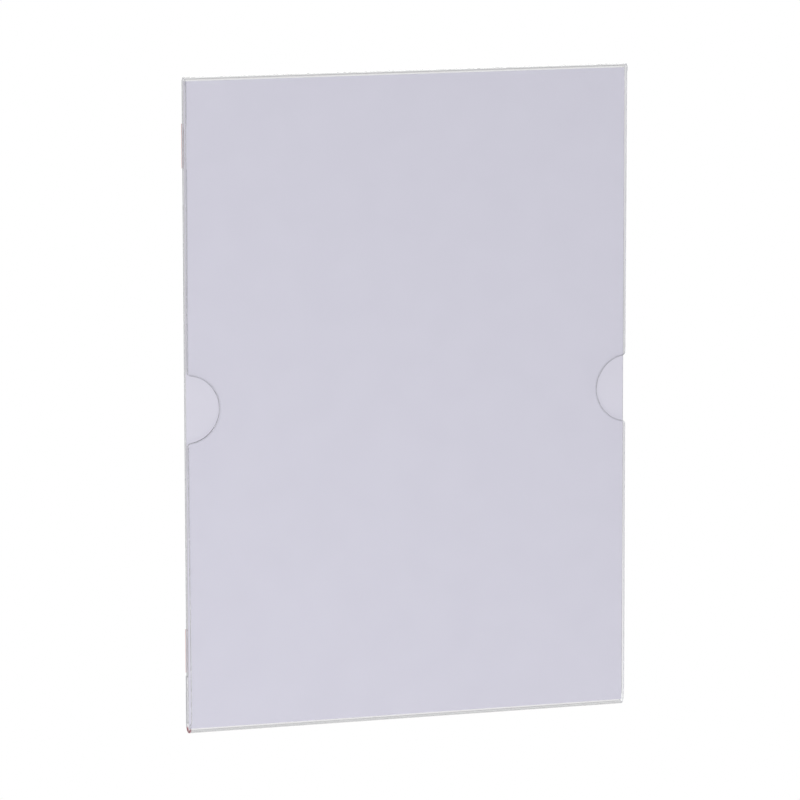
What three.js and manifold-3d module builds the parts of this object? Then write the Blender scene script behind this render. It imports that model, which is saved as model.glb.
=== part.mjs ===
// A self-adhesive poster pocket: one clear sheet folded flat round a blank A4 card, open at
// both sides, with a thumb notch in each side of its front and two mounting tapes behind.
// Millimetres. X runs across the pocket, +Z is up and the front looks along -Y.
// The wall plane is Y = 0, and the origin is the middle of the upper tape's outer face.

import * as THREE from 'three';
import { mergeVertices } from 'three/addons/utils/BufferGeometryUtils.js';
import Module from 'manifold-3d';

// The card, one A4 sheet, and the room that the pocket leaves round it
const cardWidth = 210;
const cardHeight = 297;
const cardThickness = 0.3;
const cardSideMargin = 0.5;     // card edge to the side of the back panel
const cardBackGap = 0.35;       // card to the back panel
const cardFoldGap = 0.3;        // card's upper and lower edges to the insides of the folds

// The folded sheet
const sheetWall = 1.0;
const topFoldRadius = 2.7;      // outside of the top fold
const bottomFoldRadius = 3.7;   // outside of the bottom fold, which also takes in the flap
const frontBow = 1.0;           // the front panel dips this far back at half height
const reliefUpper = 0.25;       // the front panel is cut back this far at each side
const reliefLower = 0.7;        // the same, just above the bottom fold
const reliefFromFold = 0.6;     // straight stretch between a fold and the cut-back edge
const flapHeight = 26;          // the sheet's end comes this far up behind the back panel
const backPanelRise = 0.5;      // the back panel stops this far above the bottom fold

// The thumb notches
const notchRadius = 15.5;
const notchOutset = 1.0;        // each round is centred this far outside the panel's edge
const notchShift = 0.5;         // both rounds were cut this far to the right
const notchDrop = 0.5;          // and this far below half height
const notchFillet = 2.0;        // rounded corners where a notch meets the edge

// The film that closes the flap, and the mounting tapes with their liners
const bondThickness = 0.15;
const bondInset = 2;            // film edge to each edge of the lap that it fills
const tapeProud = 0.35;         // the tapes stand this far behind the flap
const tapeWidth = 20;
const tapeEndInset = 0.2;       // tape end to the pocket's side
const linerThickness = 0.15;
const upperTapeDrop = 21.5;      // top of the pocket to the upper tape's upper edge
const lowerTapeGap = 1.5;       // flap's free edge to the lower tape's lower edge

// How finely the round stretches are drawn
const foldSteps = 28;
const bowSteps = 36;
const notchSteps = 40;
const filletSteps = 8;
const cutterMargin = 2;         // how far the cutter runs past what it cuts

// Depths in front of the wall plane
const tapeThickness = bondThickness + sheetWall + tapeProud;
const tapeRear = -linerThickness;
const backRear = tapeRear - tapeThickness;
const backInner = backRear - sheetWall;
const flapInner = backRear + bondThickness;
const flapRear = flapInner + sheetWall;
const topFoldY = backRear - topFoldRadius;
const bottomFoldY = flapRear - bottomFoldRadius;

// How far the card reaches into a fold, past where its round starts. The card stands close to
// the back panel, so its rear edge is what meets the inside of the fold first.
const cardRear = backInner - cardBackGap;
function reachIntoFold(foldRadius, foldY) {
  const inside = foldRadius - sheetWall;
  return Math.sqrt(inside ** 2 - (cardRear - foldY) ** 2) - cardFoldGap;
}

// Heights, counted from the foot of the pocket and then moved to the origin
const cardRise = bottomFoldRadius - reachIntoFold(bottomFoldRadius, bottomFoldY);
const cardToTop = topFoldRadius - reachIntoFold(topFoldRadius, topFoldY);
const pocketHeight = cardRise + cardHeight + cardToTop;
const upperTapeMiddle = pocketHeight - upperTapeDrop - tapeWidth / 2;
const lowerTapeMiddle = flapHeight + lowerTapeGap + tapeWidth / 2;
const lapFoot = bottomFoldRadius + backPanelRise;
const bondWidth = flapHeight - lapFoot - 2 * bondInset;
const footZ = -upperTapeMiddle;
const bottomFoldZ = footZ + bottomFoldRadius;
const topFoldZ = footZ + pocketHeight - topFoldRadius;
const pocketWidth = cardWidth + 2 * cardSideMargin;
const halfWidth = pocketWidth / 2;

// Depth of the front panel's outer face at a height between the folds
function frontFace(z) {
  const along = (z - bottomFoldZ) / (topFoldZ - bottomFoldZ);
  const low = bottomFoldY - bottomFoldRadius;
  const high = topFoldY - topFoldRadius;
  const eased = along * along * (3 - 2 * along);
  return low + (high - low) * eased + frontBow * Math.sin(Math.PI * along) ** 2;
}

// Points round an arc, both ends included; angles are in radians
function arc(cx, cy, radius, from, to, steps) {
  const points = [];
  for (let i = 0; i <= steps; i += 1) {
    const angle = from + ((to - from) * i) / steps;
    points.push([cx + radius * Math.cos(angle), cy + radius * Math.sin(angle)]);
  }
  return points;
}

// One face of the folded sheet as a line of Y, Z points, from the flap's free edge round the
// foot, up the front, over the top and down to the back panel's free edge.
// inset is 0 for the outer face and the sheet's thickness for the inner one.
function sheetLine(inset) {
  const line = [[flapRear - inset, footZ + flapHeight]];
  line.push(...arc(bottomFoldY, bottomFoldZ, bottomFoldRadius - inset, 0, -Math.PI, foldSteps));
  for (let i = 1; i < bowSteps; i += 1) {
    const z = bottomFoldZ + ((topFoldZ - bottomFoldZ) * i) / bowSteps;
    line.push([frontFace(z) + inset, z]);
  }
  line.push(...arc(topFoldY, topFoldZ, topFoldRadius - inset, Math.PI, 0, foldSteps));
  line.push([backRear - inset, footZ + lapFoot]);
  return line;
}

function shapeOf(points) {
  return new THREE.Shape(points.map(([x, y]) => new THREE.Vector2(x, y)));
}

// Extrudes a Y, Z outline across the width
function extrudeAcross(points, width) {
  const geometry = new THREE.ExtrudeGeometry(shapeOf(points), { depth: width, bevelEnabled: false });
  geometry.translate(0, 0, -width / 2);
  const across = new THREE.Matrix4().makeBasis(
    new THREE.Vector3(0, 1, 0),
    new THREE.Vector3(0, 0, 1),
    new THREE.Vector3(1, 0, 0),
  );
  return geometry.applyMatrix4(across);
}

// Extrudes an X, Z outline forwards, from a depth towards the front
function extrudeForwards(points, fromY, depth) {
  const geometry = new THREE.ExtrudeGeometry(shapeOf(points), { depth, bevelEnabled: false });
  const forwards = new THREE.Matrix4().makeBasis(
    new THREE.Vector3(1, 0, 0),
    new THREE.Vector3(0, 0, 1),
    new THREE.Vector3(0, -1, 0),
  );
  return geometry.applyMatrix4(forwards).translate(0, fromY, 0);
}

// The waste that is cut from one side of the front panel: a thin strip between the folds and
// the round of the thumb notch. side is 1 for the right and -1 for the left.
function sideWaste(side) {
  const outside = halfWidth + cutterMargin;
  const edge = halfWidth - reliefUpper;
  const lowEdge = halfWidth - reliefLower;
  const top = topFoldZ - reliefFromFold;
  const foot = bottomFoldZ + reliefFromFold;
  const notchX = edge + notchOutset + side * notchShift;
  const notchZ = footZ + pocketHeight / 2 - notchDrop;
  const reach = notchRadius + notchFillet;
  const filletX = edge - notchFillet;
  const rise = Math.sqrt(reach ** 2 - (filletX - notchX) ** 2);
  const lean = Math.atan2(-rise, notchX - filletX);
  const points = [[outside, top], [halfWidth, top]];
  const upperEnd = arc(halfWidth, top - reliefUpper, reliefUpper, Math.PI / 2, Math.PI, filletSteps);
  points.push(...upperEnd.slice(1));
  points.push(...arc(filletX, notchZ + rise, notchFillet, 0, lean, filletSteps));
  const around = arc(notchX, notchZ, notchRadius, lean + Math.PI, Math.PI - lean, notchSteps);
  points.push(...around.slice(1, -1));
  points.push(...arc(filletX, notchZ - rise, notchFillet, -lean, 0, filletSteps));
  points.push([lowEdge, foot + reliefLower]);
  const lowerEnd = arc(halfWidth, foot + reliefLower, reliefLower, Math.PI, Math.PI * 1.5, filletSteps);
  points.push(...lowerEnd.slice(1));
  points.push([outside, foot]);
  return points.map(([x, z]) => [side * x, z]);
}

const wasm = await Module();
wasm.setup();

function toManifold(geometry) {
  const bare = geometry.clone();
  bare.deleteAttribute('normal');
  bare.deleteAttribute('uv');
  const merged = mergeVertices(bare);
  return new wasm.Manifold(new wasm.Mesh({
    numProp: 3,
    vertProperties: new Float32Array(merged.attributes.position.array),
    triVerts: new Uint32Array(merged.index.array),
  }));
}

function toGeometry(solid) {
  const mesh = solid.getMesh();
  const geometry = new THREE.BufferGeometry();
  geometry.setAttribute('position', new THREE.BufferAttribute(mesh.vertProperties, 3));
  geometry.setIndex(new THREE.BufferAttribute(mesh.triVerts, 1));
  geometry.computeVertexNormals();
  return geometry;
}

const clearPlastic = new THREE.MeshStandardMaterial({
  color: 0xe9ebf0, roughness: 0.08, metalness: 0, transparent: true, opacity: 0.35,
});
const blankCard = new THREE.MeshStandardMaterial({ color: 0xd5d3df, roughness: 0.85, metalness: 0 });
const clearTape = new THREE.MeshStandardMaterial({
  color: 0xe4e4e2, roughness: 0.3, metalness: 0, transparent: true, opacity: 0.6,
});
const redFilm = new THREE.MeshStandardMaterial({ color: 0xc01f2a, roughness: 0.25, metalness: 0 });

const group = new THREE.Group();

function addPiece(name, geometry, material) {
  const mesh = new THREE.Mesh(geometry, material);
  mesh.name = name;
  group.add(mesh);
  return mesh;
}

// The sheet, folded round and cut at both sides of its front
function sleeve() {
  const outline = [...sheetLine(0), ...sheetLine(sheetWall).reverse()];
  let solid = toManifold(extrudeAcross(outline, pocketWidth));
  const frontInner = frontFace((bottomFoldZ + topFoldZ) / 2) + sheetWall;
  const cutFrom = (frontInner + backInner) / 2;
  const depth = cutFrom - (bottomFoldY - bottomFoldRadius) + cutterMargin;
  for (const side of [-1, 1]) {
    solid = solid.subtract(toManifold(extrudeForwards(sideWaste(side), cutFrom, depth)));
  }
  return toGeometry(solid);
}

// A flat piece that stands against a plane, its rear face at rearY
function addPanel(name, width, thickness, height, rearY, middleZ, material) {
  const panel = addPiece(name, new THREE.BoxGeometry(width, thickness, height), material);
  panel.position.set(0, rearY - thickness / 2, middleZ);
}

addPiece('sleeve', sleeve(), clearPlastic);

const cardMiddle = footZ + cardRise + cardHeight / 2;
addPanel('blank_card', cardWidth, cardThickness, cardHeight, cardRear, cardMiddle, blankCard);

const bondMiddle = footZ + (lapFoot + flapHeight) / 2;
const bondLength = pocketWidth - 2 * bondInset;
addPanel('flap_bond_film', bondLength, bondThickness, bondWidth, flapInner, bondMiddle, clearTape);

const tapeLength = pocketWidth - 2 * tapeEndInset;
for (const [place, middle] of [['upper', upperTapeMiddle], ['lower', lowerTapeMiddle]]) {
  addPanel(`${place}_tape`, tapeLength, tapeThickness, tapeWidth, tapeRear, footZ + middle, clearTape);
  addPanel(`${place}_tape_liner`, tapeLength, linerThickness, tapeWidth, 0, footZ + middle, redFilm);
}

export default group;
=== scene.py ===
import math

import bmesh
import bpy
import numpy as np
from mathutils import Matrix
from mathutils import Vector


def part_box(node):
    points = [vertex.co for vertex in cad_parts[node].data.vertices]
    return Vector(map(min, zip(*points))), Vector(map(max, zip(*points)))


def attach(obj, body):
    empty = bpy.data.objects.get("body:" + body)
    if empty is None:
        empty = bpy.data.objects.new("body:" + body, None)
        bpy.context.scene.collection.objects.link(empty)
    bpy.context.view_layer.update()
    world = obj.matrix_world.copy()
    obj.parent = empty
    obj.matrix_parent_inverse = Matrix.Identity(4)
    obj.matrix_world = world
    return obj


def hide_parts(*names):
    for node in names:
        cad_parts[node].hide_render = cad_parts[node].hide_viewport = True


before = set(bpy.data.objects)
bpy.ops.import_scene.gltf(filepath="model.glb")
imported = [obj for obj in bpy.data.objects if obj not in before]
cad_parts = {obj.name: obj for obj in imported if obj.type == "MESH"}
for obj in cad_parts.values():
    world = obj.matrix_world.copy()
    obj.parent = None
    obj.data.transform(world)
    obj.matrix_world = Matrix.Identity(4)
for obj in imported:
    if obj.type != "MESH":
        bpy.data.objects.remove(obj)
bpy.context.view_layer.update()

# A clear self-adhesive poster pocket with a blank card in it. Lengths here are in millimetres
# and go into the meshes as metres. The wall is at Y 0 and the clear front looks along -Y.
MM = 0.001


def box_mm(node):
    low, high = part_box(node)
    return [v / MM for v in low], [v / MM for v in high]


sleeve_low, sleeve_high = box_mm("sleeve")

# The folded sheet, as it was drawn for the solids
WALL = 1.0
TOP_FOLD = 2.7
BOTTOM_FOLD = 3.7
FRONT_BOW = 1.0
HALF_WIDTH = sleeve_high[0]
FOOT = sleeve_low[2]
TOP = sleeve_high[2]
FLAP_HEIGHT = 26.0
LAP_FOOT = 4.2
FLAP_REAR = sleeve_high[1]
BACK_REAR = FLAP_REAR - WALL - 0.15
TOP_FOLD_Y = BACK_REAR - TOP_FOLD
BOTTOM_FOLD_Y = FLAP_REAR - BOTTOM_FOLD
BOTTOM_FOLD_Z = FOOT + BOTTOM_FOLD
TOP_FOLD_Z = TOP - TOP_FOLD

# The cut sides of the front panel
RELIEF_UPPER = 0.25
RELIEF_LOWER = 0.7
RELIEF_FROM_FOLD = 0.6
STEP_SOFTNESS = 0.35
SHORT_FOOT = 0.95
NOTCH_RADIUS = 15.5
NOTCH_OUTSET = 1.0
NOTCH_SHIFT = 0.5
NOTCH_FILLET = 2.0
NOTCH_Z = (FOOT + TOP) / 2 - 0.5

# Where the tapes and the flap back the sheet, from their lower to their upper edges
BACKED_HEIGHTS = [[corner[2] for corner in box_mm(node)] for node in ("upper_tape", "lower_tape")]
BACKED_HEIGHTS.append([FOOT, FOOT + FLAP_HEIGHT])

# Where the front panel's cut-back sides begin and end, and how long their soft steps are
RELIEF_TOP = TOP_FOLD_Z - RELIEF_FROM_FOLD + STEP_SOFTNESS
RELIEF_FOOT = BOTTOM_FOLD_Z + RELIEF_FROM_FOLD - STEP_SOFTNESS
UPPER_STEP = RELIEF_UPPER + 2 * STEP_SOFTNESS
LOWER_STEP = RELIEF_LOWER + 2 * STEP_SOFTNESS

# The borders where the materials lay tones over their colours: painted shade along the cut sides,
# in the folds, at the very foot and round the notches, painted light on the cut edge along the
# right side and at the top fold, and a dark red tint at the left end of the foot. Each pair says
# where a
# border starts and where it is full: in from the pocket's sides, down from its top, up from its
# foot, or out from a notch's round.
LEFT_BORDER = (1.0, 0.3)
RIGHT_BORDER = (1.6, 1.15)
BARE_BORDER = (0.95, 0.7)
TOP_BORDER = (2.2, 1.0)
BOTTOM_BORDER = (3.2, 1.2)
FOOT_LINE = (0.3, 0.05)
CORNER_WIDTH = (1.1, 0.3)
CORNER_HEIGHT = (2.9, 1.6)
PAST_NOTCH = (-0.5, 1.5)
NOTCH_RIM = (1.15, -0.1)
BACKED_SHARE = 0.2
BACKED_FADE = 0.5
FRONT_START = 2.0

# How round and how finely the sheet is made
EDGE_ROUND = 0.22
ROUND_STEPS = 4
END_RINGS = 2
END_FLATTENING = 0.85
COLUMNS = 13
FOLD_STEPS = 56
FLAP_ROWS = 12
BACK_ROWS = 60
PANEL_ROWS = 61
UPPER_STEP_ROWS = 14
LOWER_STEP_ROWS = 18
FILLET_ROWS = 12
NOTCH_ROWS = 40
CLOSEST_ROWS = 0.012
SHORT_FOOT_FADE = 8.0

# How finely the sheet's line is measured before its rows are placed
FOLD_SAMPLES = 600
FLAT_SAMPLES = 400
FRONT_SAMPLES = 3000

# How the thin flat pieces are made
BEVEL_STEPS = 3
CARD_CELLS = (24, 30)
BAND_CELLS = (24, 4)
CARD_EDGE = 0.07
FILM_EDGE = 0.03
TAPE_EDGE = 0.3
LINER_EDGE = 0.04
TOUCH = 0.02


# Shared effects, each a node group

def new_group(name, inputs, outputs):
    """An empty node group with its sockets; gives the group, its input node and its output node."""
    group = bpy.data.node_groups.new(name, "ShaderNodeTree")
    for label, kind, value in inputs:
        socket = group.interface.new_socket(label, in_out="INPUT", socket_type=kind)
        if value is not None:
            socket.default_value = value
    for label, kind in outputs:
        group.interface.new_socket(label, in_out="OUTPUT", socket_type=kind)
    return group, group.nodes.new("NodeGroupInput"), group.nodes.new("NodeGroupOutput")


def noise(nodes, links, vector, scale, detail, rough):
    node = nodes.new("ShaderNodeTexNoise")
    node.inputs["Scale"].default_value = scale
    node.inputs["Detail"].default_value = detail
    node.inputs["Roughness"].default_value = rough
    links.new(vector, node.inputs["Vector"])
    return node.outputs["Fac"]


def math_node(nodes, links, operation, first, second=None, clamp=False):
    node = nodes.new("ShaderNodeMath")
    node.operation = operation
    node.use_clamp = clamp
    for place, value in ((0, first), (1, second)):
        if value is None:
            continue
        if isinstance(value, (int, float)):
            node.inputs[place].default_value = value
        else:
            links.new(value, node.inputs[place])
    return node.outputs["Value"]


def remap(nodes, links, value, low, high, to_low, to_high):
    node = nodes.new("ShaderNodeMapRange")
    node.interpolation_type = "SMOOTHSTEP"
    node.inputs["From Min"].default_value = low
    node.inputs["From Max"].default_value = high
    node.inputs["To Min"].default_value = to_low
    node.inputs["To Max"].default_value = to_high
    links.new(value, node.inputs["Value"])
    return node.outputs["Result"]


def fade(nodes, links, value, start, full):
    """A mask that grows softly from 0 to 1 between two places in millimetres, either way."""
    if start < full:
        return remap(nodes, links, value, start * MM, full * MM, 0.0, 1.0)
    return remap(nodes, links, value, full * MM, start * MM, 1.0, 0.0)


def mix_colours(nodes, links, share, first, second):
    node = nodes.new("ShaderNodeMix")
    node.data_type = "RGBA"
    links.new(share, node.inputs[0])
    for place, value in ((6, first), (7, second)):
        if isinstance(value, tuple):
            node.inputs[place].default_value = value
        else:
            links.new(value, node.inputs[place])
    return node.outputs[2]


def seen_rays(nodes, links, path):
    """1 for what the camera, a reflection or the clear plastic shows, 0 for what is lit."""
    camera_ray, glossy_ray = path.outputs["Is Camera Ray"], path.outputs["Is Glossy Ray"]
    either = math_node(nodes, links, "ADD", camera_ray, glossy_ray)
    return math_node(nodes, links, "ADD", either, path.outputs["Is Transmission Ray"], clamp=True)


def handling_marks_group():
    """Soft smears and dust on a glossy film: a mask for roughness and a height for a bump."""
    group, given, result = new_group(
        "handling marks",
        [("Coordinates", "NodeSocketVector", None), ("Amount", "NodeSocketFloat", 1.0)],
        [("Smears", "NodeSocketFloat"), ("Height", "NodeSocketFloat")],
    )
    nodes, links = group.nodes, group.links
    place = given.outputs["Coordinates"]
    broad = noise(nodes, links, place, scale=18.0, detail=3.0, rough=0.55)
    fine = noise(nodes, links, place, scale=240.0, detail=4.0, rough=0.6)
    cloud = remap(nodes, links, broad, 0.42, 0.72, 0.0, 1.0)
    streak = remap(nodes, links, fine, 0.45, 0.75, 0.0, 1.0)
    both = math_node(nodes, links, "MULTIPLY", cloud, streak)
    smears = math_node(nodes, links, "MULTIPLY", both, given.outputs["Amount"], clamp=True)
    links.new(smears, result.inputs["Smears"])
    wave = noise(nodes, links, place, scale=9.0, detail=1.0, rough=0.4)
    links.new(wave, result.inputs["Height"])
    return group


def paper_fibre_group():
    """Paper: a faint cloudy look-through, fibre flecks and the height of its tooth."""
    group, given, result = new_group(
        "paper fibre",
        [("Coordinates", "NodeSocketVector", None), ("Cloud", "NodeSocketFloat", 1.0)],
        [("Tone", "NodeSocketFloat"), ("Height", "NodeSocketFloat")],
    )
    nodes, links = group.nodes, group.links
    place = given.outputs["Coordinates"]
    cloud = noise(nodes, links, place, scale=60.0, detail=5.0, rough=0.6)
    squeezed = nodes.new("ShaderNodeMapping")
    squeezed.inputs["Scale"].default_value = (1.0, 1.0, 0.35)
    links.new(place, squeezed.inputs["Vector"])
    grain = squeezed.outputs["Vector"]
    fibre = noise(nodes, links, grain, scale=2600.0, detail=3.0, rough=0.7)
    cloudy = math_node(nodes, links, "MULTIPLY", cloud, given.outputs["Cloud"])
    fibrous = math_node(nodes, links, "MULTIPLY", fibre, 0.5)
    links.new(math_node(nodes, links, "ADD", cloudy, fibrous), result.inputs["Tone"])
    links.new(fibre, result.inputs["Height"])
    return group


def shear_marks_group():
    """A sheared plastic edge: fine lines along the thickness and small dull patches."""
    group, given, result = new_group(
        "shear marks",
        [("Coordinates", "NodeSocketVector", None)],
        [("Dullness", "NodeSocketFloat"), ("Height", "NodeSocketFloat")],
    )
    nodes, links = group.nodes, group.links
    place = given.outputs["Coordinates"]
    lines = nodes.new("ShaderNodeMapping")
    lines.inputs["Scale"].default_value = (0.15, 0.15, 1.0)
    links.new(place, lines.inputs["Vector"])
    drawn = lines.outputs["Vector"]
    fine = noise(nodes, links, drawn, scale=2200.0, detail=2.0, rough=0.6)
    patches = noise(nodes, links, place, scale=90.0, detail=3.0, rough=0.5)
    links.new(remap(nodes, links, patches, 0.35, 0.7, 0.0, 1.0), result.inputs["Dullness"])
    links.new(fine, result.inputs["Height"])
    return group


def bare_strip_shade(nodes, links, out, z, greyed):
    """A mask for the painted shade in the strip along the sides, weaker where a tape or the flap
    backs it.
    """
    strip = fade(nodes, links, out, *[HALF_WIDTH - inset for inset in BARE_BORDER])
    for low, high in BACKED_HEIGHTS:
        from_middle = math_node(nodes, links, "SUBTRACT", z, (low + high) / 2 * MM)
        away = math_node(nodes, links, "ABSOLUTE", from_middle)
        reach = (high - low) / 2
        start = (reach - BACKED_FADE) * MM
        bare = remap(nodes, links, away, start, reach * MM, BACKED_SHARE, 1.0)
        strip = math_node(nodes, links, "MULTIPLY", strip, bare)
    return math_node(nodes, links, "MULTIPLY", strip, greyed)


def notch_rim_shade(nodes, links, x, z, in_front):
    """A mask for the painted shade on the front panel close round its two thumb notches."""
    flattened = nodes.new("ShaderNodeCombineXYZ")
    links.new(x, flattened.inputs["X"])
    links.new(z, flattened.inputs["Z"])
    from_rounds = []
    for side in (-1, 1):
        apart = nodes.new("ShaderNodeVectorMath")
        apart.operation = "DISTANCE"
        links.new(flattened.outputs["Vector"], apart.inputs[0])
        centre = side * (HALF_WIDTH - RELIEF_UPPER + NOTCH_OUTSET) + NOTCH_SHIFT
        apart.inputs[1].default_value = (centre * MM, 0.0, NOTCH_Z * MM)
        from_rounds.append(apart.outputs["Value"])
    nearest = math_node(nodes, links, "MINIMUM", *from_rounds)
    close = fade(nodes, links, nearest, *[NOTCH_RADIUS + away for away in NOTCH_RIM])
    return math_node(nodes, links, "MULTIPLY", in_front, close)


def border_group():
    """Where on the pocket a spot lies, as masks from 0 to 1: near either cut side, in the strip at
    the sides, in a fold, at the very foot, at the left end of the foot, or round a notch. All of
    them but the one at the left end of the foot place painted shade or painted light."""
    labels = (
        "Left side shade",
        "Right side shade and light",
        "Bare strip shade",
        "Top fold shade and light",
        "Bottom fold shade",
        "Foot shade line",
        "Left foot corner",
        "Notch rim shade",
    )
    group, given, result = new_group(
        "pocket borders",
        [("Coordinates", "NodeSocketVector", None)],
        [(label, "NodeSocketFloat") for label in labels],
    )
    nodes, links = group.nodes, group.links
    parts = nodes.new("ShaderNodeSeparateXYZ")
    links.new(given.outputs["Coordinates"], parts.inputs[0])
    x, y, z = parts.outputs["X"], parts.outputs["Y"], parts.outputs["Z"]
    out = math_node(nodes, links, "ABSOLUTE", x)
    right = math_node(nodes, links, "GREATER_THAN", x, 0.0)
    left = math_node(nodes, links, "SUBTRACT", 1.0, right)
    in_front = math_node(nodes, links, "LESS_THAN", y, (BACK_REAR - WALL - FRONT_START) * MM)
    greyed = math_node(nodes, links, "MAXIMUM", left, in_front)
    masks = {
        "Bare strip shade": bare_strip_shade(nodes, links, out, z, greyed),
        "Top fold shade and light": fade(nodes, links, z, *[TOP - down for down in TOP_BORDER]),
        "Bottom fold shade": fade(nodes, links, z, *[FOOT + up for up in BOTTOM_BORDER]),
        "Foot shade line": fade(nodes, links, z, *[FOOT + up for up in FOOT_LINE]),
        "Notch rim shade": notch_rim_shade(nodes, links, x, z, in_front),
    }
    from_notch = math_node(nodes, links, "SUBTRACT", z, NOTCH_Z * MM)
    beside = math_node(nodes, links, "ABSOLUTE", from_notch)
    past_notch = fade(nodes, links, beside, *[NOTCH_RADIUS + away for away in PAST_NOTCH])
    for label, half, border in (
        ("Left side shade", left, LEFT_BORDER),
        ("Right side shade and light", right, RIGHT_BORDER),
    ):
        near = fade(nodes, links, out, *[HALF_WIDTH - inset for inset in border])
        on_this_side = math_node(nodes, links, "MULTIPLY", near, half)
        masks[label] = math_node(nodes, links, "MULTIPLY", on_this_side, past_notch)
    low = fade(nodes, links, z, *[FOOT + up for up in CORNER_HEIGHT])
    outermost = fade(nodes, links, x, *[inset - HALF_WIDTH for inset in CORNER_WIDTH])
    masks["Left foot corner"] = math_node(nodes, links, "MULTIPLY", low, outermost)
    for label, mask in masks.items():
        links.new(mask, result.inputs[label])
    return group


borders = border_group()
handling_marks = handling_marks_group()
paper_fibre = paper_fibre_group()
shear_marks = shear_marks_group()


# Materials

PLASTIC_IOR = 1.5
GEL_IOR = 1.47

# Tones at the borders, all painted shade or painted light but the dark red tint at the foot's left
# end: which border, how sharply it fades in, and its colour. The later ones lie on top.
SHEET_TONES = (
    # painted shade: a grey strip along the front panel's left cut side
    ("Left side shade", 3.0, (0.76, 0.76, 0.78, 1.0)),
    # painted shade: a grey strip along the front panel's right cut side
    ("Right side shade and light", 1.0, (0.7, 0.7, 0.715, 1.0)),
    # painted shade: a grey strip at the cut sides, weaker where the tapes or the flap back the
    # sheet
    ("Bare strip shade", 1.0, (0.64, 0.64, 0.655, 1.0)),
    # painted shade: the top fold greyer
    ("Top fold shade and light", 1.0, (0.86, 0.86, 0.86, 1.0)),
    # painted shade: the bottom fold a little greyer
    ("Bottom fold shade", 1.0, (0.94, 0.94, 0.94, 1.0)),
    # painted shade: a dark line along the very foot, under the bottom fold
    ("Foot shade line", 1.0, (0.42, 0.415, 0.42, 1.0)),
    ("Left foot corner", 1.0, (0.42, 0.16, 0.19, 1.0)),
    # painted shade: the front panel darker round the notches, for the cut edge's shadow on the card
    ("Notch rim shade", 1.0, (0.74, 0.74, 0.76, 1.0)),
)
EDGE_TONES = (
    # painted light: the right cut edge lighter
    ("Right side shade and light", 1.0, (0.86, 0.86, 0.88, 1.0)),
    # painted shade: the left cut edge darker
    ("Left side shade", 1.0, (0.57, 0.57, 0.6, 1.0)),
    # painted light: the cut edge lighter at the top fold
    ("Top fold shade and light", 1.0, (0.84, 0.84, 0.86, 1.0)),
    # painted shade: the notches' cut edges darker
    ("Notch rim shade", 1.0, (0.48, 0.48, 0.52, 1.0)),
    ("Left foot corner", 1.0, (0.36, 0.09, 0.11, 1.0)),
)
# painted shadow: the card darker along its left side, where the front panel's cut edge shades it
CARD_TONES = (("Left side shade", 1.0, (0.50, 0.49, 0.53, 1.0)),)


def new_material(name):
    """A material with its Principled shader and output; gives the three and the coordinates."""
    material = bpy.data.materials.new(name)
    material.use_nodes = True
    nodes = material.node_tree.nodes
    nodes.clear()
    shader = nodes.new("ShaderNodeBsdfPrincipled")
    output = nodes.new("ShaderNodeOutputMaterial")
    place = nodes.new("ShaderNodeTexCoord")
    return material, shader, output, place.outputs["Object"]


def place_group(material, group, coordinates, **values):
    node = material.node_tree.nodes.new("ShaderNodeGroup")
    node.node_tree = group
    material.node_tree.links.new(coordinates, node.inputs["Coordinates"])
    for label, value in values.items():
        node.inputs[label].default_value = value
    return node


def bump(material, shader, height, strength, depth):
    nodes, links = material.node_tree.nodes, material.node_tree.links
    node = nodes.new("ShaderNodeBump")
    node.inputs["Strength"].default_value = strength
    node.inputs["Distance"].default_value = depth
    links.new(height, node.inputs["Height"])
    links.new(node.outputs["Normal"], shader.inputs["Normal"])


def let_lamps_through(material, shader, output, tint):
    """Lamps and the light that the card throws back pass straight through the clear sheet."""
    nodes, links = material.node_tree.nodes, material.node_tree.links
    path = nodes.new("ShaderNodeLightPath")
    clear = nodes.new("ShaderNodeBsdfTransparent")
    clear.inputs["Color"].default_value = tint
    either = math_node(
        nodes, links, "MAXIMUM", path.outputs["Is Shadow Ray"], path.outputs["Is Diffuse Ray"]
    )
    mix = nodes.new("ShaderNodeMixShader")
    links.new(either, mix.inputs[0])
    links.new(shader.outputs[0], mix.inputs[1])
    links.new(clear.outputs[0], mix.inputs[2])
    links.new(mix.outputs[0], output.inputs["Surface"])


def tint_borders(material, place, colour, tones):
    """Lays each border's tone over a colour: painted shade, painted light, or the dark red tint at
    the foot's left end.
    """
    nodes, links = material.node_tree.nodes, material.node_tree.links
    zone = place_group(material, borders, place)
    for label, sharpness, tone in tones:
        share = zone.outputs[label]
        if sharpness != 1.0:
            share = math_node(nodes, links, "POWER", share, sharpness)
        colour = mix_colours(nodes, links, share, colour, tone)
    return colour


def vary_roughness(material, shader, mask, mask_range, rough_range):
    nodes, links = material.node_tree.nodes, material.node_tree.links
    rough = remap(nodes, links, mask, *mask_range, *rough_range)
    links.new(rough, shader.inputs["Roughness"])


def clear_sheet_material():
    material, shader, output, place = new_material("clear sheet")
    nodes, links = material.node_tree.nodes, material.node_tree.links
    marks = place_group(material, handling_marks, place, Amount=0.6)
    smears = marks.outputs["Smears"]
    clean = (0.985, 0.986, 0.992, 1.0)
    hazy = (0.972, 0.973, 0.98, 1.0)
    colour = mix_colours(nodes, links, smears, clean, hazy)
    colour = tint_borders(material, place, colour, SHEET_TONES)
    links.new(colour, shader.inputs["Base Color"])
    shader.inputs["Transmission Weight"].default_value = 1.0
    shader.inputs["IOR"].default_value = PLASTIC_IOR
    shader.inputs["Specular Tint"].default_value = (0.72, 0.72, 0.74, 1.0)
    vary_roughness(material, shader, smears, (0.0, 1.0), (0.015, 0.09))
    bump(material, shader, marks.outputs["Height"], strength=0.02, depth=0.0006)
    let_lamps_through(material, shader, output, (0.99, 0.99, 0.995, 1.0))
    return material


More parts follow.
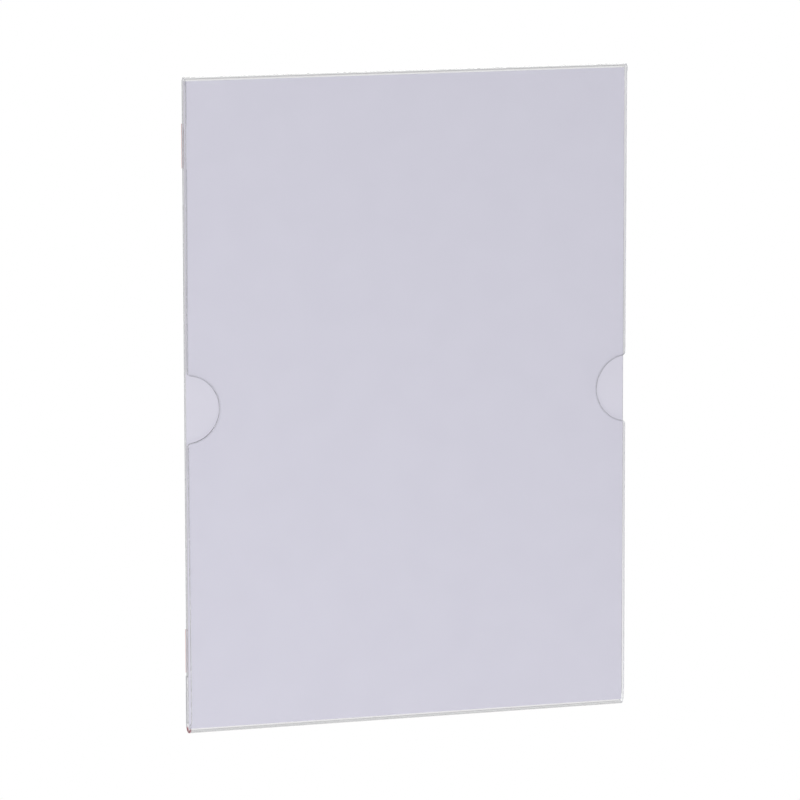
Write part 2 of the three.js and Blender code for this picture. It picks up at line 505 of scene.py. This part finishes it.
def cut_edge_material():
    material, shader, output, place = new_material("sheared edge of the sheet")
    nodes, links = material.node_tree.nodes, material.node_tree.links
    marks = place_group(material, shear_marks, place)
    dullness = marks.outputs["Dullness"]
    bright = (0.67, 0.67, 0.7, 1.0)
    dull = (0.62, 0.62, 0.65, 1.0)
    colour = mix_colours(nodes, links, dullness, bright, dull)
    colour = tint_borders(material, place, colour, EDGE_TONES)
    links.new(colour, shader.inputs["Base Color"])
    shader.inputs["Transmission Weight"].default_value = 0.2
    shader.inputs["IOR"].default_value = PLASTIC_IOR
    vary_roughness(material, shader, dullness, (0.0, 1.0), (0.2, 0.45))
    bump(material, shader, marks.outputs["Height"], strength=0.15, depth=0.00003)
    let_lamps_through(material, shader, output, (0.8, 0.8, 0.82, 1.0))
    return material


def card_material():
    material, shader, output, place = new_material("blank lavender card")
    nodes, links = material.node_tree.nodes, material.node_tree.links
    fibre = place_group(material, paper_fibre, place, Cloud=1.0)
    height = fibre.outputs["Height"]
    shade = remap(nodes, links, fibre.outputs["Tone"], 0.4, 1.1, 0.0, 1.0)
    thin = (0.665, 0.653, 0.735, 1.0)
    dense = (0.683, 0.671, 0.753, 1.0)
    colour = mix_colours(nodes, links, shade, thin, dense)
    colour = tint_borders(material, place, colour, CARD_TONES)
    links.new(colour, shader.inputs["Base Color"])
    shader.inputs["Specular IOR Level"].default_value = 0.25
    vary_roughness(material, shader, height, (0.3, 0.7), (0.82, 0.93))
    bump(material, shader, height, strength=0.12, depth=0.00002)
    links.new(shader.outputs[0], output.inputs["Surface"])
    return material


def soft_tape_material(name, clearness, clean, hazy, rough_range):
    material, shader, output, place = new_material(name)
    nodes, links = material.node_tree.nodes, material.node_tree.links
    marks = place_group(material, handling_marks, place, Amount=1.0)
    smears = marks.outputs["Smears"]
    colour = mix_colours(nodes, links, smears, clean, hazy)
    links.new(colour, shader.inputs["Base Color"])
    shader.inputs["Transmission Weight"].default_value = clearness
    shader.inputs["IOR"].default_value = GEL_IOR
    vary_roughness(material, shader, smears, (0.0, 1.0), rough_range)
    bump(material, shader, marks.outputs["Height"], strength=0.06, depth=0.0004)
    let_lamps_through(material, shader, output, (0.9, 0.9, 0.89, 1.0))
    return material


def red_liner_material():
    material, shader, output, place = new_material("red release film")
    nodes, links = material.node_tree.nodes, material.node_tree.links
    marks = place_group(material, handling_marks, place, Amount=1.0)
    smears = marks.outputs["Smears"]
    clean = (0.52, 0.014, 0.026, 1.0)
    scuffed = (0.56, 0.035, 0.045, 1.0)
    colour = mix_colours(nodes, links, smears, clean, scuffed)
    links.new(colour, shader.inputs["Base Color"])
    shader.inputs["IOR"].default_value = PLASTIC_IOR
    vary_roughness(material, shader, smears, (0.0, 1.0), (0.18, 0.34))
    bump(material, shader, marks.outputs["Height"], strength=0.12, depth=0.0006)
    links.new(shader.outputs[0], output.inputs["Surface"])
    return material


clear_sheet = clear_sheet_material()
cut_edge = cut_edge_material()
card_paper = card_material()
tape_gel = soft_tape_material(
    "milky mounting tape",
    clearness=0.05,
    clean=(0.97, 0.90, 0.92, 1.0),
    hazy=(0.94, 0.87, 0.89, 1.0),
    rough_range=(0.25, 0.4),
)
bond_gel = soft_tape_material(
    "clear bonding film",
    clearness=0.92,
    clean=(0.95, 0.95, 0.94, 1.0),
    hazy=(0.9, 0.9, 0.89, 1.0),
    rough_range=(0.1, 0.25),
)
red_liner = red_liner_material()


# The folded sheet as a mesh

def front_face(z):
    """Depth of the front panel's outer face at a height between the folds."""
    along = (z - BOTTOM_FOLD_Z) / (TOP_FOLD_Z - BOTTOM_FOLD_Z)
    low = BOTTOM_FOLD_Y - BOTTOM_FOLD
    high = TOP_FOLD_Y - TOP_FOLD
    eased = along * along * (3 - 2 * along)
    return low + (high - low) * eased + FRONT_BOW * np.sin(math.pi * along) ** 2


def fold_points(centre_y, centre_z, radius, start, end):
    angle = np.linspace(start, end, FOLD_SAMPLES)
    return np.column_stack(
        [
            centre_y + radius * np.cos(angle),
            centre_z + radius * np.sin(angle),
            np.cos(angle),
            np.sin(angle),
        ]
    )


def flat_points(y, start, end):
    z = np.linspace(start, end, FLAT_SAMPLES)
    return np.column_stack([np.full_like(z, y), z, np.ones_like(z), np.zeros_like(z)])


def front_points():
    z = np.linspace(BOTTOM_FOLD_Z, TOP_FOLD_Z, FRONT_SAMPLES)
    y = front_face(z)
    slope = np.gradient(y, z)
    length = np.sqrt(1 + slope**2)
    return np.column_stack([y, z, -1 / length, slope / length])


class SheetLine:
    """The sheet's outer face as one line, from the flap's free edge round the foot, up the
    front, over the top and down the back, measured by the way along it."""

    def __init__(self):
        parts = [
            flat_points(FLAP_REAR, FOOT + FLAP_HEIGHT, BOTTOM_FOLD_Z),
            fold_points(BOTTOM_FOLD_Y, BOTTOM_FOLD_Z, BOTTOM_FOLD, 0, -math.pi),
            front_points(),
            fold_points(TOP_FOLD_Y, TOP_FOLD_Z, TOP_FOLD, math.pi, 0),
            flat_points(BACK_REAR, TOP_FOLD_Z, FOOT + LAP_FOOT),
        ]
        self.table = np.vstack(parts)
        steps = np.hypot(np.diff(self.table[:, 0]), np.diff(self.table[:, 1]))
        self.way = np.concatenate([[0], np.cumsum(steps)])
        ends = np.cumsum([len(part) for part in parts])
        self.part_ends = [self.way[end - 1] for end in ends]
        first = ends[1]
        last = ends[2]
        self.front_z = self.table[first:last, 1]
        self.front_way = self.way[first:last]

    def at(self, way):
        """Y, Z and the outward normal's Y, Z at a way along the line."""
        values = [np.interp(way, self.way, self.table[:, i]) for i in range(4)]
        size = math.hypot(values[2], values[3])
        return values[0], values[1], values[2] / size, values[3] / size

    def at_front_height(self, z):
        return float(np.interp(z, self.front_z, self.front_way))

    def front_height(self, way):
        return float(np.interp(way, self.front_way, self.front_z))


line = SheetLine()


def notch_reach(side):
    """Where a notch's round is centred, and how high its corner fillets are centred above it."""
    edge = HALF_WIDTH - RELIEF_UPPER
    centre = edge + NOTCH_OUTSET + side * NOTCH_SHIFT
    rise = math.sqrt((NOTCH_RADIUS + NOTCH_FILLET) ** 2 - (edge - NOTCH_FILLET - centre) ** 2)
    return edge, centre, rise


def eased(share):
    return share * share * (3 - 2 * share)


def side_of_front(z, side):
    """Half width of the front panel at a height, on one side."""
    if z >= RELIEF_TOP or z <= RELIEF_FOOT:
        return HALF_WIDTH
    if z > RELIEF_TOP - UPPER_STEP:
        return HALF_WIDTH - RELIEF_UPPER * eased((RELIEF_TOP - z) / UPPER_STEP)
    if z < RELIEF_FOOT + LOWER_STEP:
        return HALF_WIDTH - RELIEF_LOWER * eased((z - RELIEF_FOOT) / LOWER_STEP)
    edge, centre, rise = notch_reach(side)
    away = abs(z - NOTCH_Z)
    if away >= rise:
        if z > NOTCH_Z:
            return edge
        start = NOTCH_Z - rise
        share = (start - z) / (start - RELIEF_FOOT - LOWER_STEP)
        return edge + (RELIEF_UPPER - RELIEF_LOWER) * share
    if away > rise * NOTCH_RADIUS / (NOTCH_RADIUS + NOTCH_FILLET):
        return edge - NOTCH_FILLET + math.sqrt(NOTCH_FILLET**2 - (rise - away) ** 2)
    return centre - math.sqrt(NOTCH_RADIUS**2 - away**2)


def front_heights():
    """Heights of the front panel's rows, close together where its sides turn."""
    heights = list(np.linspace(BOTTOM_FOLD_Z, TOP_FOLD_Z, PANEL_ROWS))
    heights += list(np.linspace(RELIEF_TOP - UPPER_STEP, RELIEF_TOP, UPPER_STEP_ROWS))
    heights += list(np.linspace(RELIEF_FOOT, RELIEF_FOOT + LOWER_STEP, LOWER_STEP_ROWS))
    for side in (-1, 1):
        edge, centre, rise = notch_reach(side)
        lean = math.acos((centre - edge + NOTCH_FILLET) / (NOTCH_RADIUS + NOTCH_FILLET))
        for turn in np.linspace(0, lean, FILLET_ROWS):
            away = rise - NOTCH_FILLET * math.sin(turn)
            heights += [NOTCH_Z + away, NOTCH_Z - away]
        for turn in np.linspace(0, lean, NOTCH_ROWS):
            away = NOTCH_RADIUS * math.sin(turn)
            heights += [NOTCH_Z + away, NOTCH_Z - away]
    kept = []
    for z in sorted(heights):
        if not kept or z - kept[-1] > CLOSEST_ROWS:
            kept.append(float(z))
    return kept


def sheet_rows():
    """Ways along the sheet with the left and right sides' X there."""
    ends = line.part_ends
    ways = list(np.linspace(EDGE_ROUND, ends[0], FLAP_ROWS))
    ways += list(np.linspace(ends[0], ends[1], FOLD_STEPS)[1:-1])
    ways += [line.at_front_height(z) for z in front_heights()]
    ways += list(np.linspace(ends[2], ends[3], FOLD_STEPS)[1:-1])
    ways += list(np.linspace(ends[3], ends[4] - EDGE_ROUND, BACK_ROWS))
    rows = []
    for way in ways:
        short = SHORT_FOOT * eased(min(1.0, way / ends[0]))
        if ends[1] < way < ends[2]:
            z = line.front_height(way)
            drop = eased(min(1.0, max(0.0, (z - BOTTOM_FOLD_Z) / SHORT_FOOT_FADE)))
            right = min(side_of_front(z, 1), HALF_WIDTH - short * (1 - drop))
            rows.append((way, -side_of_front(z, -1), right))
        elif way <= ends[1]:
            rows.append((way, -HALF_WIDTH, HALF_WIDTH - short))
        else:
            rows.append((way, -HALF_WIDTH, HALF_WIDTH))
    return np.array(rows)


def edge_directions(rows, column, sign):
    """Which way each side's cut edge looks, in the plane of the sheet: X and along the sheet."""
    run = np.gradient(rows[:, column])
    climb = np.gradient(rows[:, 0])
    size = np.hypot(run, climb)
    return np.column_stack([sign * climb / size, -sign * run / size])


def ring(way, left, right, left_look, right_look, inset=0.0, tilt=0.0, toward=0.0):
    """One closed ring round the sheet's thickness: points and normals. inset shrinks it for a
    rounded free end, and tilt turns its normals towards the end."""
    radius = EDGE_ROUND - inset
    left_middle = np.array([left, way]) - EDGE_ROUND * left_look
    right_middle = np.array([right, way]) - EDGE_ROUND * right_look
    spots = []
    for share in np.linspace(0, 1, COLUMNS):
        spots.append((left_middle + (right_middle - left_middle) * share, inset, (0, 0), 1.0))
    turns = [math.pi / 2 * step / ROUND_STEPS for step in range(1, ROUND_STEPS + 1)]

    def arc(middle, look, turn, face):
        spot = middle + radius * math.sin(turn) * look
        depth = inset + radius * (1 - math.cos(turn))
        if face < 0:
            depth = WALL - depth
        return spot, depth, math.sin(turn) * look, face * math.cos(turn)

    spots += [arc(right_middle, right_look, turn, 1) for turn in turns]
    spots += [arc(right_middle, right_look, turn, -1) for turn in reversed(turns)]
    for share in np.linspace(1, 0, COLUMNS):
        spots.append(
            (left_middle + (right_middle - left_middle) * share, WALL - inset, (0, 0), -1.0)
        )
    spots += [arc(left_middle, left_look, turn, -1) for turn in turns]
    spots += [arc(left_middle, left_look, turn, 1) for turn in reversed(turns)]

    points = []
    normals = []
    for spot, depth, look, outwards in spots:
        y, z, ny, nz = line.at(spot[1])
        points.append((spot[0] * MM, (y - ny * depth) * MM, (z - nz * depth) * MM))
        along = (nz, -ny)
        flat = Vector(
            (look[0], outwards * ny - look[1] * along[0], outwards * nz - look[1] * along[1])
        )
        if flat.length:
            flat.normalize()
        end = Vector((0, -toward * along[0], -toward * along[1]))
        normal = flat * math.cos(tilt) + end * math.sin(tilt)
        normals.append(tuple(normal.normalized()))
    return points, normals


def free_end(row, looks, turns, toward):
    """The rings that round off one free end of the sheet."""
    way, left, right = row
    rings = []
    for turn in turns:
        moved = way + toward * EDGE_ROUND * math.sin(turn)
        inset = END_FLATTENING * EDGE_ROUND * (1 - math.cos(turn))
        rings.append(ring(moved, left, right, *looks, inset, turn, toward))
    return rings


def sheet_faces(count, around):
    """Faces over a run of closed rings, and the place of each one's finish: 0 for clear and 1
    for sheared."""
    inner_start = COLUMNS + 2 * ROUND_STEPS
    inner_last = inner_start + COLUMNS - 1
    flat_steps = {*range(COLUMNS - 1), *range(inner_start, inner_last)}
    faces = []
    finishes = []
    for row in range(count - 1):
        at_end = row < END_RINGS or row >= count - 1 - END_RINGS
        base = row * around
        for step in range(around):
            after = (step + 1) % around
            faces.append((base + step, base + after, base + around + after, base + around + step))
            finishes.append(1 if at_end or step not in flat_steps else 0)
    for base in (0, (count - 1) * around):
        for step in range(COLUMNS - 1):
            outer = base + step
            inner = base + inner_last - step
            faces.append((outer, outer + 1, inner - 1, inner))
            finishes.append(1)
        faces.append(tuple(base + i for i in range(COLUMNS - 1, inner_start + 1)))
        faces.append(tuple(base + i for i in [*range(inner_last, around), 0]))
        finishes += [1, 1]
    return faces, finishes


def folded_sheet():
    """The whole clear sheet as one closed skin, with its cut edges in a finish of their own."""
    rows = sheet_rows()
    looks = list(zip(edge_directions(rows, 1, -1), edge_directions(rows, 2, 1)))
    quarter = math.pi / 2
    rings = free_end(rows[0], looks[0], (quarter, quarter / 2), -1.0)
    rings += [ring(*row, *look) for row, look in zip(rows, looks)]
    rings += free_end(rows[-1], looks[-1], (quarter / 2, quarter), 1.0)
    points = [point for one in rings for point in one[0]]
    normals = [normal for one in rings for normal in one[1]]
    faces, finishes = sheet_faces(len(rings), len(rings[0][0]))
    mesh = bpy.data.meshes.new("folded_clear_sheet")
    mesh.from_pydata(points, [], faces)
    mesh.materials.append(clear_sheet)
    mesh.materials.append(cut_edge)
    mesh.polygons.foreach_set("material_index", finishes)
    work = bmesh.new()
    work.from_mesh(mesh)
    bmesh.ops.recalc_face_normals(work, faces=work.faces)
    work.to_mesh(mesh)
    work.free()
    mesh.shade_smooth()
    mesh.normals_split_custom_set_from_vertices(normals)
    mesh.update()
    piece = bpy.data.objects.new("folded_clear_sheet", mesh)
    bpy.context.scene.collection.objects.link(piece)
    return piece


# The card, tapes, liners and film

def cut_into_cells(work, low, size, cells):
    """Cuts a slab across and up, so that its large faces are made of cells."""
    for axis, count in ((0, cells[0]), (2, cells[1])):
        look = Vector([1.0 if i == axis else 0.0 for i in range(3)])
        for step in range(1, count):
            bmesh.ops.bisect_plane(
                work,
                geom=[*work.verts, *work.edges, *work.faces],
                plane_co=look * (low[axis] + size[axis] * step / count),
                plane_no=look,
            )


def rounded_slab(name, low, high, edge, finish, cells):
    """A thin flat piece between two corners, its edges eased, its faces in cells."""
    work = bmesh.new()
    bmesh.ops.create_cube(work, size=1.0)
    size = [high[i] - low[i] for i in range(3)]
    middle = [(high[i] + low[i]) / 2 for i in range(3)]
    for vert in work.verts:
        vert.co = Vector([middle[i] + vert.co[i] * size[i] for i in range(3)])
    bmesh.ops.bevel(
        work,
        geom=list(work.edges),
        offset=edge,
        offset_type="OFFSET",
        segments=BEVEL_STEPS,
        profile=0.5,
        affect="EDGES",
    )
    cut_into_cells(work, low, size, cells)
    bmesh.ops.scale(work, vec=(MM, MM, MM), verts=list(work.verts))
    mesh = bpy.data.meshes.new(name)
    work.to_mesh(mesh)
    work.free()
    mesh.shade_smooth()
    mesh.materials.append(finish)
    piece = bpy.data.objects.new(name, mesh)
    bpy.context.scene.collection.objects.link(piece)
    flats = piece.modifiers.new("flat faces", "WEIGHTED_NORMAL")
    flats.mode = "FACE_AREA"
    flats.weight = 100
    return piece


def slab_from_node(name, node, edge, finish, clear_of=0.0, cells=BAND_CELLS):
    """A slab that stands for a CAD node. clear_of keeps its front and rear off what it touches."""
    low, high = box_mm(node)
    low[1] += clear_of
    high[1] -= clear_of
    piece = rounded_slab(name, low, high, edge, finish, cells)
    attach(piece, "root")
    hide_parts(node)


sheet = folded_sheet()
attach(sheet, "root")
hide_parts("sleeve")

slab_from_node("blank_a4_card", "blank_card", CARD_EDGE, card_paper, cells=CARD_CELLS)
slab_from_node("lap_bonding_film", "flap_bond_film", FILM_EDGE, bond_gel, TOUCH)
for place in ("upper", "lower"):
    tape, liner = f"{place}_tape", f"{place}_tape_liner"
    slab_from_node(f"{place}_mounting_tape", tape, TAPE_EDGE, tape_gel, TOUCH)
    slab_from_node(f"{place}_red_liner", liner, LINER_EDGE, red_liner)


# Floor, light and camera, in metres

FLOOR_RADIUS = 1.1
FLOOR_SIDES = 96
FLOOR_DROP = 1.2
FLOOR_RIM = (0.6, 1.08)
FLOOR_PAINT = (0.86, 0.86, 0.87, 1.0)

WHITE = (1.0, 1.0, 1.0, 1.0)
SOFT_GREY = (0.51, 0.51, 0.515, 1.0)
MIRRORED_GREY = (0.42, 0.42, 0.44, 1.0)
MIRRORED_ROOM = (0.45, 0.93)
BENT_GREY = (0.62, 0.62, 0.64, 1.0)
BENT_ROOM = (0.3, 0.92)

LAMP_TARGET = (0.0, 0.0, -0.12)
FRONT_LAMP = (-0.5, -1.6, -0.62)
FRONT_LAMP_SIZE = 0.9
FRONT_LAMP_POWER = 16.4
REAR_LAMP = (1.2, 2.4, 0.9)
REAR_LAMP_SIZE = 2.0
REAR_LAMP_POWER = 30.0

CAMERA_YAW = -17.6
CAMERA_RISE = 8.949
CAMERA_ROLL = -0.107
CAMERA_DISTANCE = 2.4683
CAMERA_TARGET = (-0.00238, 0.0, -0.1207)
CAMERA_SENSOR = 36.0
CAMERA_LENS = 242.01
CAMERA_NEAR = 0.1
CAMERA_FAR = 50.0


def floor_paint():
    """Pale paint that turns into the white of the surroundings towards the floor's rim."""
    material = bpy.data.materials.new("pale floor paint")
    material.use_nodes = True
    nodes, links = material.node_tree.nodes, material.node_tree.links
    nodes.clear()
    place = nodes.new("ShaderNodeTexCoord")
    distance = nodes.new("ShaderNodeVectorMath")
    distance.operation = "LENGTH"
    links.new(place.outputs["Object"], distance.inputs[0])
    rim = remap(nodes, links, distance.outputs["Value"], *FLOOR_RIM, 0.0, 1.0)
    seen = seen_rays(nodes, links, nodes.new("ShaderNodeLightPath"))
    share = math_node(nodes, links, "MULTIPLY", rim, seen)
    paint = nodes.new("ShaderNodeBsdfDiffuse")
    paint.inputs["Color"].default_value = FLOOR_PAINT
    white = nodes.new("ShaderNodeEmission")
    white.inputs["Color"].default_value = WHITE
    white.inputs["Strength"].default_value = 1.0
    mix = nodes.new("ShaderNodeMixShader")
    output = nodes.new("ShaderNodeOutputMaterial")
    links.new(share, mix.inputs[0])
    links.new(paint.outputs[0], mix.inputs[1])
    links.new(white.outputs[0], mix.inputs[2])
    links.new(mix.outputs[0], output.inputs["Surface"])
    return material


def pale_floor():
    """A round pale floor well below the pocket, which keeps the shadow near its middle."""
    work = bmesh.new()
    bmesh.ops.create_circle(work, cap_ends=True, segments=FLOOR_SIDES, radius=FLOOR_RADIUS)
    mesh = bpy.data.meshes.new("pale_floor")
    work.to_mesh(mesh)
    work.free()
    mesh.materials.append(floor_paint())
    floor = bpy.data.objects.new("pale_floor", mesh)
    floor.location = (0.0, 0.0, FOOT * MM - FLOOR_DROP)
    bpy.context.scene.collection.objects.link(floor)


def studio_world():
    """White surroundings for what is seen, soft grey light for what is lit, and a quieter room
    behind the camera for what is mirrored or seen through the plastic."""
    world = bpy.data.worlds.new("soft studio")
    bpy.context.scene.world = world
    world.use_nodes = True
    nodes, links = world.node_tree.nodes, world.node_tree.links
    nodes.clear()
    place = nodes.new("ShaderNodeTexCoord")
    parts = nodes.new("ShaderNodeSeparateXYZ")
    links.new(place.outputs["Generated"], parts.inputs[0])
    depth = parts.outputs["Y"]
    path = nodes.new("ShaderNodeLightPath")
    mirrored_room = remap(nodes, links, depth, *MIRRORED_ROOM, 0.0, 1.0)
    mirrored = mix_colours(nodes, links, mirrored_room, MIRRORED_GREY, WHITE)
    bent_room = remap(nodes, links, depth, *BENT_ROOM, 0.0, 1.0)
    bent = mix_colours(nodes, links, bent_room, BENT_GREY, WHITE)
    around = mix_colours(nodes, links, path.outputs["Is Glossy Ray"], bent, mirrored)
    seen = mix_colours(nodes, links, path.outputs["Is Camera Ray"], around, WHITE)
    colour = mix_colours(nodes, links, seen_rays(nodes, links, path), SOFT_GREY, seen)
    background = nodes.new("ShaderNodeBackground")
    background.inputs["Strength"].default_value = 1.0
    output = nodes.new("ShaderNodeOutputWorld")
    links.new(colour, background.inputs["Color"])
    links.new(background.outputs[0], output.inputs["Surface"])


def softbox(name, place, size, power):
    """A square soft lamp that faces the pocket and isn't seen itself."""
    light = bpy.data.lights.new(name, "AREA")
    light.shape = "RECTANGLE"
    light.size = size
    light.size_y = size
    light.energy = power
    lamp = bpy.data.objects.new(name, light)
    lamp.location = place
    aim = Vector(LAMP_TARGET) - Vector(place)
    lamp.rotation_euler = aim.to_track_quat("-Z", "Y").to_euler()
    lamp.visible_camera = False
    lamp.visible_transmission = False
    bpy.context.scene.collection.objects.link(lamp)


def photo_camera():
    """The camera that the photograph's outlines give, looking a little down from the left."""
    yaw = math.radians(CAMERA_YAW)
    rise = math.radians(CAMERA_RISE)
    roll = math.radians(CAMERA_ROLL)
    back = Vector(
        (math.sin(yaw) * math.cos(rise), -math.cos(yaw) * math.cos(rise), math.sin(rise))
    )
    level = Vector((math.cos(yaw), math.sin(yaw), 0.0))
    upright = back.cross(level)
    right = level * math.cos(roll) + upright * math.sin(roll)
    up = upright * math.cos(roll) - level * math.sin(roll)
    lens = bpy.data.cameras.new("photo_camera")
    lens.sensor_width = CAMERA_SENSOR
    lens.lens = CAMERA_LENS
    lens.clip_start = CAMERA_NEAR
    lens.clip_end = CAMERA_FAR
    eye = bpy.data.objects.new("photo_camera", lens)
    turn = Matrix((right, up, back)).transposed().to_4x4()
    eye.matrix_world = Matrix.Translation(Vector(CAMERA_TARGET) + back * CAMERA_DISTANCE) @ turn
    bpy.context.scene.collection.objects.link(eye)
    bpy.context.scene.camera = eye


pale_floor()
studio_world()
softbox("front_softbox", FRONT_LAMP, FRONT_LAMP_SIZE, FRONT_LAMP_POWER)
softbox("rear_softbox", REAR_LAMP, REAR_LAMP_SIZE, REAR_LAMP_POWER)
photo_camera()
bpy.context.scene.view_settings.view_transform = "Standard"
